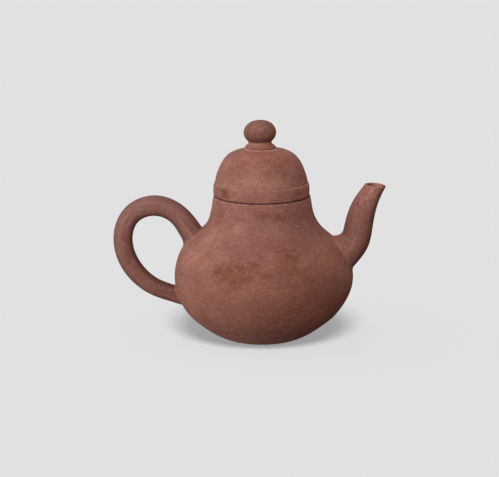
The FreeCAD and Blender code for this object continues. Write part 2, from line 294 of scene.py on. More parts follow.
def onto_wall(p):
    """Points moved onto the pot's wall, and a little into it."""
    for _ in range(6):
        n = wall_normal(p)
        slope = (outside_gap(p + PROBE * n) - outside_gap(p - PROBE * n)) / (2 * PROBE)
        p = p - n * (outside_gap(p) / slope)[..., None]
    return p - SINK * wall_normal(p)


# Coils and tubes of clay: spout and handle
class Tube:
    """A round tube along a smooth line in the XZ plane, with a radius at each of its points."""

    def __init__(self, points, radii):
        self.line, self.stations = spline(points)
        self.thick = spline(np.stack([self.stations, radii], 1))
        fine = np.linspace(0, self.thick[1][-1], 600)
        self.table = self.thick[0](fine)
        self.length = self.stations[-1]

    def middle(self, u):
        """Points of the middle line."""
        p = self.line(np.ravel(u)).reshape(np.shape(u) + (2,))
        return np.stack([p[..., 0], np.zeros(np.shape(u)), p[..., 1]], -1)

    def along(self, u):
        """Directions of the middle line."""
        d = self.middle(np.asarray(u) + 0.02) - self.middle(np.asarray(u) - 0.02)
        return d / np.linalg.norm(d, axis=-1)[..., None]

    def point(self, u, turn, thinner=0.0):
        """Points of the surface at a turn round the middle line, or of one a little thinner."""
        t = self.along(u)
        side = np.stack([-t[..., 2], np.zeros(np.shape(u)), t[..., 0]], -1)
        r = np.interp(u, self.table[:, 0], self.table[:, 1]) - thinner
        out = np.cos(turn)[..., None] * side + np.sin(turn)[..., None] * np.array([0, 1.0, 0])
        return self.middle(u) + r[..., None] * out

    def crossing(self, test, low, high, turn, thinner=0.0):
        """Where lines along the tube pass from test below zero at low to above zero at high."""
        low = np.full(turn.shape, float(low))
        high = np.full(turn.shape, float(high))
        for _ in range(40):
            half = (low + high) / 2
            under = test(self.point(half, turn, thinner)) < 0
            low = np.where(under, half, low)
            high = np.where(under, high, half)
        return (low + high) / 2


def root_rows(tube, hit, turn, on_wall, on_tube, way):
    """Rows of the smoothed clay where a tube meets the pot, from the wall to the tube.

    hit is where the tube meets the wall. The clay spreads by on_wall over the wall and by on_tube
    along the tube; way is 1 at the tube's start and -1 at its end.
    """
    corner = tube.point(hit, turn)
    out = corner - tube.middle(hit)
    n = wall_normal(corner)
    spread = out - n * np.sum(out * n, -1)[..., None]
    spread /= np.linalg.norm(spread, axis=-1)[..., None]
    a = onto_wall(corner + spread * on_wall[..., None])
    end = hit + way * on_tube
    b = tube.point(end, turn)
    leave = onto_wall(a - 0.2 * spread) - a
    leave /= np.linalg.norm(leave, axis=-1)[..., None]
    arrive = tube.point(end + 0.1 * way, turn) - tube.point(end - 0.1 * way, turn)
    arrive /= np.linalg.norm(arrive, axis=-1)[..., None]
    reach = np.linalg.norm(b - a, axis=-1)[..., None]
    t = np.linspace(0, 1, ROOT_ROWS)[:, None, None]
    return ((2 * t**3 - 3 * t**2 + 1) * a + (t**3 - 2 * t**2 + t) * reach * leave
            + (3 * t**2 - 2 * t**3) * b + (t**3 - t**2) * reach * arrive)


turn = 2 * math.pi * np.arange(TURNS) / TURNS
BRUSH_R, BRUSH_STEP = 4.5, 0.05


def stroked(rows, ends):
    """Texture places for rows round a tube, drawn out along it, and nearness to its joined ends."""
    ring = BRUSH_R * np.stack([np.cos(turn), np.sin(turn), np.zeros(TURNS)], 1)
    brush = np.concatenate([ring + [0, 0, BRUSH_STEP * k] for k in range(len(rows))])
    row = np.arange(len(rows))
    far = row if ends == 1 else np.minimum(row, row[::-1])
    return brush, np.repeat(np.clip(1 - far / (ROOT_ROWS - 1), 0, 1), TURNS)


# Spout
root_z = BELLY_Z + 10.4
root = np.array([np.interp(root_z, POT[:, 1], POT[:, 0]), root_z])
elbow, stem = np.array([39.1, 41.9]), np.array([40.8, 48.0])
throat, lip = np.array([43.7, 58.1]), np.array([47.9, 65.8])
inner_end = root - 7.5 * (elbow - root) / np.linalg.norm(elbow - root)
past = lip + 3.75 * (lip - throat) / np.linalg.norm(lip - throat)
spout_tube = Tube([inner_end, root, elbow, stem, throat, lip, past],
                  [7.5, 7.5, 6.35, 5.95, 5.1, 4.05, 4.05])
LIP_TILT, LIP_ROLL = math.radians(6.0), -0.062
lip_normal = np.array([math.sin(LIP_TILT), LIP_ROLL, math.cos(LIP_TILT)])
lip_point = np.array([lip[0], 0, lip[1]])


def above_lip(p):
    """How far points stand above the spout's cut lip."""
    return (p - lip_point) @ lip_normal


end_u = spout_tube.crossing(above_lip, spout_tube.stations[4], spout_tube.length, turn)
bore_u = spout_tube.crossing(above_lip, spout_tube.stations[4], spout_tube.length, turn, LIP_WALL)
hit = spout_tube.crossing(outside_gap, 1.0, spout_tube.stations[2], turn)
crook = np.cos(turn).clip(0, 1)
flare = 1.4 + 7.4 * crook**1.5
rows = list(root_rows(spout_tube, hit, turn, 1.4 + 0.5 * crook, flare, 1.0))
start_u = hit + flare
for s in np.linspace(0, 1, 70)[1:]:
    rows.append(spout_tube.point(start_u + (end_u - LIP_EDGE - start_u) * s, turn))
edge_out = spout_tube.point(end_u, turn)
edge_in = spout_tube.point(bore_u, turn, LIP_WALL)
inward = (edge_in - edge_out) / np.linalg.norm(edge_in - edge_out, axis=-1)[..., None]
rows += list(bend(rows[-1], edge_out, edge_out + LIP_EDGE * inward, 6)[1:])
below = spout_tube.point(bore_u - LIP_EDGE, turn, LIP_WALL)
rows += list(bend(edge_in - LIP_EDGE * inward, edge_in, below, 6))
bore_hit = spout_tube.crossing(outside_gap, 1.0, spout_tube.stations[2], turn, ROOT_WALL)
for s in np.linspace(0, 1, 60)[1:]:
    u = bore_u - LIP_EDGE + (bore_hit - bore_u + LIP_EDGE) * s
    thinner = LIP_WALL + (ROOT_WALL - LIP_WALL) * (0.25 * s + 0.75 * s**0.5)
    rows.append(spout_tube.point(u, turn, thinner))
spout = make_object("clay_spout", np.concatenate(rows),
                    grid_faces(len(rows), TURNS, flip=True), TUBE_SHARP, *stroked(rows, 1))

# Strainer: one hole and a ring of six, pierced through the wall behind the spout
axis = np.array([elbow[0] - root[0], 0, elbow[1] - root[1]])
axis /= np.linalg.norm(axis)
across = np.cross(axis, [0, 1.0, 0])
drills = bmesh.new()
pointing = Vector(axis).to_track_quat("Z", "Y").to_matrix().to_4x4()
for step in range(STRAINER_HOLES):
    spin = math.pi * step / 3
    hole = np.array([root[0], 0, root[1]])
    if step < STRAINER_HOLES - 1:
        hole = hole + STRAINER_RING_R * (math.cos(spin) * np.array([0, 1.0, 0]) + math.sin(spin) * across)
    bmesh.ops.create_cone(drills, cap_ends=True, segments=24, radius1=STRAINER_R * MM,
                          radius2=STRAINER_R * MM, depth=DRILL_LENGTH * MM,
                          matrix=Matrix.Translation(Vector(hole * MM)) @ pointing)
drill_mesh = bpy.data.meshes.new("strainer_drills")
drills.to_mesh(drill_mesh)
drills.free()
drill = bpy.data.objects.new("strainer_drills", drill_mesh)
bpy.context.scene.collection.objects.link(drill)
cut = body_wall.modifiers.new("strainer", "BOOLEAN")
cut.operation = "DIFFERENCE"
cut.object = drill
cut.solver = "EXACT"
bpy.context.view_layer.update()
pierced = bpy.data.meshes.new_from_object(body_wall.evaluated_get(bpy.context.evaluated_depsgraph_get()))
MERGE = 0.002 * MM
mended = bmesh.new()
mended.from_mesh(pierced)
bmesh.ops.remove_doubles(mended, verts=mended.verts, dist=MERGE)
bmesh.ops.dissolve_degenerate(mended, edges=mended.edges, dist=MERGE)
mended.to_mesh(pierced)
mended.free()
body_wall.modifiers.clear()
body_wall.data = pierced
bpy.data.objects.remove(drill)

# Handle
top_z, low_z = BELLY_Z + 17.15, BELLY_Z - 8.5
top = np.array([-np.interp(top_z, POT[:, 1], POT[:, 0]), top_z])
low = np.array([-np.interp(low_z, POT[:, 1], POT[:, 0]), low_z])
loop = [np.array(p) for p in ((-35.3, 52.9), (-45.5, 57.0), (-55.0, 53.0), (-58.7, 43.3),
                              (-54.5, 30.0), (-44.5, 21.5))]
first = top + 4.9 * (top - loop[0]) / np.linalg.norm(top - loop[0])
last = low + 3.6 * (low - loop[-1]) / np.linalg.norm(low - loop[-1])
handle_tube = Tube([first, top] + loop + [low, last],
                   [4.9, 4.9, 4.4, 4.35, 4.1, 4.05, 4.0, 3.68, 3.6, 3.6])
top_hit = handle_tube.crossing(outside_gap, 0.5, handle_tube.stations[2], turn)
low_hit = handle_tube.crossing(lambda p: -outside_gap(p), handle_tube.stations[-3],
                               handle_tube.length - 0.3, turn)
top_flare = 1.0 + 2.4 * np.cos(turn).clip(0, 1) ** 1.5
low_flare = np.full(turn.shape, 1.1)
rows = list(root_rows(handle_tube, top_hit, turn, 0.7 * top_flare, top_flare, 1.0))
begin_u, stop_u = top_hit + top_flare, low_hit - low_flare
for s in np.linspace(0, 1, 150)[1:-1]:
    rows.append(handle_tube.point(begin_u + (stop_u - begin_u) * s, turn))
rows += list(root_rows(handle_tube, low_hit, turn, 0.7 * low_flare, low_flare, -1.0))[::-1]
inside = [0.95 * row.mean(0) + 0.05 * row for row in (rows[0], rows[-1])]
rows = [inside[0]] + rows + [inside[1]]
handle = make_object("clay_handle", np.concatenate(rows),
                     grid_faces(len(rows), TURNS, closed=False, flip=True), TUBE_SHARP, *stroked(rows, 2))

# Lid
lid_bottom = RIM_Z + SEAM
band = clean([(BAND_IN_R, lid_bottom)], arc(BAND_R - BAND_EDGE, lid_bottom + BAND_EDGE, BAND_EDGE, -90, 0),
             sample([(20.22, lid_bottom + 0.6), (20.25, 64.0), (20.08, 65.9), (19.85, 66.75),
                     (19.48, BAND_TOP_Z)], 20), [(BAND_IN_R, BAND_TOP_Z)])
lid_band = turned("clay_lid_band", band, lid_uneven)
dome_line = sample([(19.46, BAND_TOP_Z), (18.1, 72.3), (13.5, 79.1), (8.9, 80.95), (7.3, 81.3),
                    CROWN_EDGE], 70, (-0.12, 1), (-0.6, 1))
dome_in = offset(dome_line, LID_WALL)
dome = clean(dome_line, [(AIR_R, CROWN_EDGE[1]), (AIR_R, dome_in[-1, 1])], dome_in[::-1])
lid_dome = turned("clay_lid_dome", dome, lid_uneven)
lid_seat_ring = turned("clay_lid_seat", clean(
    [(FLANGE_IN_R, RIM_Z), (SEAT_R, RIM_Z), (SEAT_R, SEAT_TOP_Z)],
    arc(FLANGE_IN_R + 0.4, SEAT_TOP_Z - 0.4, 0.4, 90, 180)), true_round)
flange_edge_z = FLANGE_LOW_Z + FLANGE_EDGE
lid_flange = turned("clay_lid_flange", clean(
    arc(FLANGE_IN_R + FLANGE_EDGE, flange_edge_z, FLANGE_EDGE, 180, 270),
    arc(FLANGE_R - FLANGE_EDGE, flange_edge_z, FLANGE_EDGE, 270, 360),
    [(FLANGE_R, RIM_Z), (FLANGE_IN_R, RIM_Z)]), true_round)

# Knob
seat = clean([(AIR_R, 81.7), (6.0, 81.7)],
             sample([(6.05, 81.85), (6.38, 82.0), (6.46, 82.2), (6.36, 82.4)], 12),
             sample([(6.16, 82.6), (5.66, 83.06), (5.15, 83.47), (4.92, 83.9), (4.85, KNOB_Z)], 16),
             [(AIR_R, KNOB_Z)])
knob_seat = turned("clay_knob_seat", seat, lid_uneven)
low_angle = -math.acos(KNOB_FOOT_R / KNOB_R)
knob_mid = KNOB_Z - KNOB_LOW * math.sin(low_angle)
a = np.linspace(low_angle, math.acos(KNOB_TOP_R / KNOB_R), 48)
upper = a > 0
ball = np.stack([KNOB_R * np.cos(a) ** np.where(upper, 0.89, 1.14),
                 knob_mid + np.where(upper, KNOB_HIGH, KNOB_LOW) * np.sin(a)], 1)
knob_top = ball[-1, 1]
knob = turned("clay_knob", clean(
    [(AIR_R, KNOB_Z)], ball, [(1.15, knob_top - 0.02), (AIR_R, knob_top - 0.2)]), lid_uneven)

PIECES = {
    "pot": {"base_disc": base_disc, "body_wall": body_wall, "neck_wall": neck_wall,
            "mouth_ring": mouth_ring, "spout": spout, "handle": handle},
    "lid": {"lid_flange": lid_flange, "lid_seat_ring": lid_seat_ring, "lid_band": lid_band,
            "lid_dome": lid_dome, "knob_seat": knob_seat, "knob": knob},
}
for body_name, made in PIECES.items():
    for node, piece in made.items():
        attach(piece, body_name)
        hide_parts(node)


# Clay
def linear(tint):
    """A colour given as screen values from 0 to 255."""
    def one(c):
        c /= 255.0
        return c / 12.92 if c <= 0.04045 else ((c + 0.055) / 1.055) ** 2.4
    return (*(one(c) for c in tint), 1.0)


# Tints of the clay, and of painted shade and highlights, as screen values
PINK_CLAY, RED_CLAY, BLOT, FLECK = (155, 105, 93), (141, 92, 83), (128, 78, 67), (180, 130, 116)
BRUSH_LINE, UPRIGHT_STROKE, RUST = (112, 66, 58), (118, 72, 62), (128, 72, 52)
PIT, GRIT = (88, 48, 40), (196, 152, 136)
KNOB_UNDERSIDE_PAINTED_SHADE, KNOB_CREASE_PAINTED_SHADE, KNOB_NECK_HIGHLIGHT = (82, 44, 38), (70, 36, 30), (196, 142, 122)
CROWN_HIGHLIGHT_LINE, EDGE_HIGHLIGHT_AND_WEAR, SEAM_SHADE = (206, 150, 130), (186, 132, 112), (66, 30, 24)
COIL_PALE, COIL_SHADE, JOINT_HIGHLIGHT = (178, 132, 122), (64, 34, 28), (200, 134, 108)


class Nodes:
    """Short ways to add nodes to a material."""

    def __init__(self, material):
        material.use_nodes = True
        self.tree = material.node_tree
        self.tree.nodes.clear()

    def add(self, kind, values=None, **settings):
        node = self.tree.nodes.new(kind)
        for key, value in settings.items():
            setattr(node, key, value)
        for key, value in (values or {}).items():
            if isinstance(value, bpy.types.NodeSocket):
                self.tree.links.new(value, node.inputs[key])
            else:
                node.inputs[key].default_value = value
        return node

    def math(self, operation, a, b=0.0, c=0.0):
        return self.add("ShaderNodeMath", {0: a, 1: b, 2: c}, operation=operation).outputs[0]

    def vector(self, operation, a, b=(0.0, 0.0, 0.0), c=(0.0, 0.0, 0.0)):
        return self.add("ShaderNodeVectorMath", {0: a, 1: b, 2: c}, operation=operation).outputs

    def noise(self, where, scale, detail=4.0, roughness=0.55, distortion=0.0):
        values = {"Vector": where, "Scale": scale, "Detail": detail, "Roughness": roughness,
                  "Distortion": distortion}
        return self.add("ShaderNodeTexNoise", values).outputs["Fac"]

    def ramp(self, value, low, high, to_low=0.0, to_high=1.0):
        """A smooth step between low and high."""
        return self.add("ShaderNodeMapRange", {"Value": value, "From Min": low, "From Max": high,
                                               "To Min": to_low, "To Max": to_high},
                        interpolation_type="SMOOTHSTEP").outputs["Result"]

    def mix(self, factor, a, b):
        node = self.add("ShaderNodeMix", data_type="RGBA")
        for socket, value in ((node.inputs[0], factor), (node.inputs[6], a), (node.inputs[7], b)):
            if isinstance(value, bpy.types.NodeSocket):
                self.tree.links.new(value, socket)
            else:
                socket.default_value = value
        return node.outputs[2]


# Stains, painted shade and painted highlights: a tint, how much of it, how soft and how ragged its edge is,
# and its spots, each a middle and half sizes in millimetres
STAINS_AND_PAINTED_LIGHT = [
    # Brown patches of the belly, the last two on its far side
    ((130, 75, 54), 0.58, 0.6, 1.0, [
        ((-11.0, -34.2, 34.9), (12.0, 7.0, 6.2)), ((11.0, -31.4, 39.3), (5.8, 6.0, 6.8)),
        ((16.1, -31.7, 35.5), (6.0, 6.0, 2.8)), ((18.0, -31.5, 33.0), (5.0, 6.0, 2.4)),
        ((22.0, 28.0, 33.0), (9.0, 7.0, 4.0)), ((-12.0, 33.0, 27.0), (10.0, 6.0, 4.0))]),
    # Darker flecks in those patches
    ((106, 57, 40), 0.44, 0.6, 1.5, [
        ((-11.7, -31.3, 39.0), (2.4, 4.0, 1.6)), ((-7.6, -33.9, 36.8), (2.2, 4.0, 2.0)),
        ((-2.9, -33.8, 38.5), (2.3, 4.0, 1.9)), ((-11.1, -35.4, 31.8), (3.2, 4.0, 1.1)),
        ((-5.9, -36.1, 33.4), (2.2, 4.0, 1.1)), ((-17.6, -31.3, 35.6), (2.8, 4.0, 2.6)),
        ((-13.4, -32.4, 36.6), (1.2, 4.0, 1.8)), ((12.2, -26.9, 43.4), (2.4, 4.0, 0.8)),
        ((10.4, -29.7, 41.7), (1.2, 4.0, 1.6)), ((12.9, -29.2, 41.0), (1.6, 4.0, 2.6)),
        ((13.7, -32.0, 37.0), (1.1, 4.0, 1.5)), ((7.7, -28.4, 43.6), (1.8, 4.0, 0.8)),
        ((2.2, -35.9, 34.6), (1.9, 4.0, 0.8)), ((20.0, 30.0, 34.0), (3.0, 3.0, 1.6)),
        ((25.0, 26.0, 32.0), (2.0, 3.0, 2.2)), ((12.2, -33.7, 35.0), (1.1, 1.5, 0.7))]),
    # Dark smudges on the front of the neck
    ((112, 64, 54), 0.5, 0.6, 1.2, [
        ((2.4, -21.0, 56.6), (3.0, 3.0, 1.6)), ((6.2, -20.6, 55.2), (2.2, 3.0, 1.2)),
        ((0.0, -21.3, 55.8), (2.2, 3.0, 1.0)), ((7.7, -19.5, 57.3), (2.6, 3.0, 0.8))]),
    # Brown stain on the side of the neck, and painted shade on both sides of the lid's band under its top
    # edge
    ((126, 78, 58), 0.65, 0.6, 1.0, [
        ((-17.3, -12.6, 55.6), (3.2, 4.0, 5.0)), ((-14.3, -13.8, 65.0), (4.9, 4.2, 2.4)),
        ((15.3, -12.8, 65.0), (5.0, 4.0, 1.6))]),
    # Painted shade, grey-brown, on the side of the lid towards the handle
    ((104, 72, 58), 0.6, 0.8, 0.6, [
        ((-20.0, -2.0, 65.0), (5.5, 12.0, 6.0)), ((-19.0, 0.0, 73.5), (6.5, 14.0, 7.0)),
        ((-13.0, -5.0, 79.5), (4.5, 9.0, 3.5)), ((-12.8, -11.5, 75.0), (5.0, 5.0, 4.0)),
        ((-20.5, 0.0, 70.0), (3.0, 10.0, 5.0))]),
    # The dark spot on the band
    ((104, 62, 46), 0.78, 0.5, 0.6, [((-15.6, -12.7, 65.0), (3.0, 3.6, 2.5))]),
    # Painted highlight on the shoulder towards the handle
    ((190, 134, 114), 0.26, 0.7, 0.5, [((-27.0, -21.0, 38.5), (9.0, 9.0, 5.0))]),
    # Painted warm shade on the flank under the spout
    ((170, 107, 88), 0.4, 0.9, 0.4, [((28.5, -17.5, 38.0), (8.5, 10.0, 7.0))]),
    # Painted shade on the low side towards the spout
    ((70, 38, 32), 0.4, 0.9, 0.4, [((27.0, -8.0, 7.0), (7.0, 14.0, 6.0))]),
    # Painted light on the inner wall of the spout's mouth
    ((206, 146, 128), 0.45, 0.5, 0.3, [((48.4, 2.6, 65.0), (3.6, 2.2, 1.8))]),
    # Dark tip of the spout's lip
    ((70, 50, 46), 0.6, 0.5, 0.3, [((51.9, 0.0, 65.5), (0.9, 2.6, 0.9))]),
    # Orange glint of the knob
    ((172, 114, 84), 0.45, 0.8, 0.6, [((-1.8, -5.6, 91.0), (3.4, 3.0, 1.7))]),
    # Brown clouds of the dome
    ((132, 84, 68), 0.5, 0.7, 1.2, [
        ((6.8, -16.8, 72.5), (5.0, 5.0, 4.6)), ((-12.8, -12.0, 73.8), (7.0, 7.5, 6.0)),
        ((1.9, -14.5, 78.1), (7.0, 5.0, 2.0)), ((9.0, -11.5, 77.0), (4.0, 4.0, 3.0))]),
    # Painted highlights on the shoulder, neck, dome, spout and band
    ((188, 136, 118), 0.35, 0.9, 0.6, [
        ((-22.8, -15.2, 45.4), (4.0, 4.0, 4.4)), ((-10.1, -20.5, 50.5), (2.4, 3.0, 2.6)),
        ((-31.5, -14.0, 39.5), (6.0, 6.0, 5.0)), ((4.0, -18.0, 69.6), (10.0, 4.0, 2.6)),
        ((46.0, -4.0, 61.0), (4.0, 4.0, 6.0)), ((20.5, -9.0, 64.0), (4.0, 8.0, 5.0))]),
    # Painted highlight on the middle of the belly's front
    ((176, 124, 106), 0.25, 0.9, 0.4, [((0.5, -37.0, 29.0), (8.0, 6.0, 4.5))]),
    # Small dark marks on the belly and on the spout
    ((74, 38, 30), 0.8, 0.3, 0.3, [
        ((-34.3, -14.8, 30.6), (0.9, 1.0, 0.9)), ((40.3, -4.7, 58.4), (0.4, 2.0, 2.2))]),
    # Pale nicks in the neck
    ((210, 178, 162), 0.42, 0.5, 0.5, [
        ((14.7, -17.0, 51.6), (0.45, 1.0, 0.25)), ((16.5, -15.5, 51.3), (0.5, 1.0, 0.2)),
        ((17.5, -13.7, 52.2), (0.4, 1.0, 0.25))]),
    # Grey-brown knob
    ((92, 62, 55), 0.78, 0.9, 0.8, [((-1.8, 0.0, 90.0), (9.5, 9.5, 6.8))]),
    # Painted reddish shade on the low belly, shoulder, far side and crown
    ((126, 64, 48), 0.38, 0.9, 0.6, [
        ((15.0, -30.0, 19.0), (15.0, 18.0, 12.0)), ((12.0, -26.0, 46.0), (9.0, 9.0, 4.0)),
        ((30.0, 10.0, 18.0), (16.0, 24.0, 14.0)), ((3.0, -9.0, 78.5), (13.0, 8.0, 3.2))]),
    # Painted reflection along the belly's edge towards the spout
    ((176, 126, 114), 0.4, 0.9, 0.5, [
        ((36.5, -8.0, 29.0), (6.5, 12.0, 9.0)), ((36.0, -5.0, 20.0), (6.0, 9.0, 9.0))]),
    # Painted shade on the foot, and on the knob's side towards the handle
    ((84, 44, 36), 0.35, 0.9, 0.4, [
        ((14.0, -20.0, 4.0), (26.0, 26.0, 9.0)), ((26.0, -9.0, 8.0), (8.0, 14.0, 7.0)),
        ((-7.2, -3.0, 88.0), (2.6, 5.0, 4.0))]),
]


def clay_material(name, gain, sides):
    """Unglazed red-brown clay: mottled, speckled, brushed and stained.

    gain brightens or dims its three colours; sides sets painted shade on the inner and the outer side of a
    coil and a painted highlight on its smoothed joints. Its stains include painted shade and highlights.
    Noise scales are per metre.
    """
    material = bpy.data.materials.new(name)
    n = Nodes(material)
    where = n.add("ShaderNodeTexCoord").outputs["Object"]
    x, y, z = n.add("ShaderNodeSeparateXYZ", {0: where}).outputs
    reach = n.math("SQRT", n.math("ADD", n.math("MULTIPLY", x, x), n.math("MULTIPLY", y, y)))

    brushed = n.vector("MULTIPLY", where, (0.2, 0.2, 1.0))[0]
    upright = n.vector("MULTIPLY", where, (1.0, 1.0, 0.2))[0]
    if sides:
        brushed = n.add("ShaderNodeAttribute", attribute_name="brush").outputs["Vector"]

    # Mottling
    cloud = n.noise(where, 95, 5, 0.6, 0.4)
    blots = n.noise(where, 420, 5, 0.65)
    flecks = n.noise(where, 900, 4, 0.6)
    lines = n.noise(brushed, 1700, 4, 0.65)
    strokes = n.noise(upright, 1500, 4, 0.65)
    grain = n.noise(where, 2300, 3, 0.7)
    colour = n.mix(n.ramp(cloud, 0.3, 0.7), linear(PINK_CLAY), linear(RED_CLAY))
    colour = n.mix(n.ramp(blots, 0.42, 0.75, 0.0, 0.4), colour, linear(BLOT))
    colour = n.mix(n.ramp(flecks, 0.52, 0.8, 0.0, 0.2), colour, linear(FLECK))
    colour = n.mix(n.ramp(lines, 0.38, 0.75, 0.0, 0.6 if sides else 0.3), colour, linear(BRUSH_LINE))
    colour = n.mix(n.ramp(strokes, 0.4, 0.75, 0.0, 0.22), colour, linear(UPRIGHT_STROKE))

    broken = n.noise(where, 520, 6, 0.72, 0.5)

    def spotted(spots, soft, ragged):
        """How far inside the nearest of some spots with broken edges, from 1 to 0."""
        nearest = None
        for middle, size in spots:
            away = n.vector("SUBTRACT", where, [c * MM for c in middle])[0]
            away = n.vector("MULTIPLY", away, [1 / (c * MM) for c in size])[0]
            far = n.vector("LENGTH", away)["Value"]
            nearest = far if nearest is None else n.math("MINIMUM", nearest, far)
        edge = n.math("MULTIPLY_ADD", broken, 4.0 * ragged, n.math("ADD", nearest, -2.0 * ragged))
        return n.ramp(edge, 0.8 - soft, 0.8 + soft, 1.0, 0.0)

    for tint, amount, soft, ragged, spots in STAINS_AND_PAINTED_LIGHT:
        mask = n.math("MULTIPLY", spotted(spots, soft, ragged), amount)
        colour = n.mix(mask, colour, linear(tint))
    wander = n.ramp(n.noise(where, 62, 6, 0.68, 0.8), 0.56, 0.66, 0.0, 0.2)
    colour = n.mix(wander, colour, linear(RUST))

    def specks(base, scale, share, size, tint, amount):
        """Small dots in a share of cells."""
        cells = n.add("ShaderNodeTexVoronoi", {"Vector": where, "Scale": scale})
        pick = n.add("ShaderNodeSeparateColor", {0: cells.outputs["Color"]}).outputs[0]
        dot = n.ramp(cells.outputs["Distance"], 0.4 * size, size, amount, 0.0)
        return n.mix(n.math("MULTIPLY", n.math("LESS_THAN", pick, share), dot), base, tint)

    pitted = spotted([((6.5, -16.0, 74.0), (5.5, 6.0, 5.0)), ((-13.0, -13.0, 71.5), (5.0, 6.0, 3.6)),
                      ((-15.0, -13.0, 56.0), (5.0, 6.0, 4.0))], 0.6, 0.5)
    pits, grits = (n.math("MULTIPLY_ADD", pitted, share, 0.03) for share in (0.3, 0.12))
    colour = specks(colour, 1000, pits, 0.36, linear(PIT), 0.55)
    colour = specks(colour, 900, grits, 0.28, linear(GRIT), 0.5)

    def ring(base, height, reach_mm, amount, tint):
        """A soft line round the pot or its lid at a height, but not on the handle and the spout."""
        away = n.math("ABSOLUTE", n.math("SUBTRACT", z, height * MM))
        near = n.math("LESS_THAN", reach, 24 * MM)
        return n.mix(n.math("MULTIPLY", n.ramp(away, 0.0, reach_mm * MM, amount, 0.0), near), base, tint)

    # Painted shade under the knob and at the seam, painted highlights on the knob's seat, the crown, the
    # rim's edge and the band's ridge, and wear along those edges
    edge_highlight_and_wear = n.ramp(n.noise(where, 150, 4, 0.6), 0.4, 0.62, 0.0, 0.4)
    # Painted shade on the knob's underside and near the crease where it meets its seat
    colour = ring(colour, KNOB_Z + 1.4, 2.6, 0.4, linear(KNOB_UNDERSIDE_PAINTED_SHADE))
    colour = ring(colour, KNOB_Z + 1.2, 0.9, 0.45, linear(KNOB_CREASE_PAINTED_SHADE))
    # Painted highlight on the upward flare of the knob's seat
    colour = ring(colour, KNOB_Z - 0.6, 1.3, 0.4, linear(KNOB_NECK_HIGHLIGHT))
    # Painted highlight line on the dome round the foot of the knob's seat
    colour = ring(colour, CROWN_EDGE[1] - 0.35, 0.45, 0.42, linear(CROWN_HIGHLIGHT_LINE))
    # Painted highlight and wear along the rim's edge, and along the band's ridge mostly at its sides
    colour = ring(colour, RIM_Z - 0.5, 0.5, edge_highlight_and_wear, linear(EDGE_HIGHLIGHT_AND_WEAR))
    aside = n.math("MULTIPLY", edge_highlight_and_wear, n.ramp(n.math("ABSOLUTE", x), 6 * MM, 14 * MM, 0.25, 1.0))
    colour = ring(colour, BAND_TOP_Z - 0.2, 0.5, aside, linear(EDGE_HIGHLIGHT_AND_WEAR))
    colour = ring(colour, RIM_Z + 0.07, 0.45, 0.7, linear(SEAM_SHADE))

    if sides:
        inner, outer, joint_highlight_amount = sides
        pale = n.noise(brushed, 800, 3, 0.6, 0.3)
        colour = n.mix(n.ramp(pale, 0.5, 0.75, 0.0, 0.5), colour, linear(COIL_PALE))
        across = n.add("ShaderNodeSeparateXYZ", {0: brushed}).outputs[0]
        # Painted shade along the coil's inner and outer sides
        colour = n.mix(n.ramp(across, 1.8 * MM, 4.5 * MM, 0.0, inner), colour, linear(COIL_SHADE))
        colour = n.mix(n.ramp(across, -1.8 * MM, -4.5 * MM, 0.0, outer), colour, linear(COIL_SHADE))
        # Painted highlight round the smoothed joints
        joint = n.add("ShaderNodeAttribute", attribute_name="root").outputs["Fac"]
        colour = n.mix(n.math("MULTIPLY", joint, joint_highlight_amount), colour, linear(JOINT_HIGHLIGHT))

    # Tone: grain, flecks, level brush lines and upright strokes, stronger on the lid and low down
    crown = n.ramp(z, 60 * MM, 68 * MM)
    coarse = n.math("MULTIPLY", crown, n.math("MULTIPLY_ADD", pitted, 0.9, 0.1))
    tone = n.math("MULTIPLY", n.math("SUBTRACT", grain, 0.5), n.math("ADD", coarse, 0.9))
    tone = n.math("MULTIPLY_ADD", n.math("SUBTRACT", flecks, 0.5), 0.35, tone)
    flat = n.math("MAXIMUM", n.ramp(n.noise(where, 40, 2), 0.4, 0.56), n.ramp(z, 42 * MM, 52 * MM))
    flat = n.math("MAXIMUM", flat, n.ramp(z, 14 * MM, 6 * MM))
    weight = n.math("MULTIPLY_ADD", flat, 0.65, n.math("MULTIPLY_ADD", crown, -0.5, 0.45))
    lying = n.math("MULTIPLY", n.math("SUBTRACT", lines, 0.5), weight)
    rising = n.math("MULTIPLY", n.math("SUBTRACT", strokes, 0.5), n.math("MULTIPLY_ADD", flat, -0.5, 1.0))
    tone = n.math("ADD", tone, n.math("ADD", lying, rising))
    contrast = n.math("ADD", n.ramp(z, 46 * MM, 66 * MM, 1.0, 1.45), n.ramp(z, 12 * MM, 26 * MM, 0.4, 0.0))
    tone = n.math("MULTIPLY", tone, contrast)
    brighter = n.ramp(z, 44 * MM, 68 * MM, 1.0, 1.2)
    tone = n.vector("MULTIPLY_ADD", tone, (1.0, 1.3, 1.5), brighter)[0]
    # Warmer below the belly's widest part, and greyer at the foot for painted grey light bounced from the
    # floor
    low_warmth_and_foot_bounce = n.mix(n.ramp(z, 28 * MM, 46 * MM), (gain[0], 0.95 * gain[1], 0.89 * gain[2], 1.0), (*gain, 1.0))
    low_warmth_and_foot_bounce = n.mix(n.ramp(z, 3 * MM, 13 * MM), (0.96, 1.05, 1.1, 1.0), low_warmth_and_foot_bounce)
    tone = n.vector("MULTIPLY", tone, low_warmth_and_foot_bounce)[0]
    colour = n.vector("MULTIPLY", colour, tone)[0]

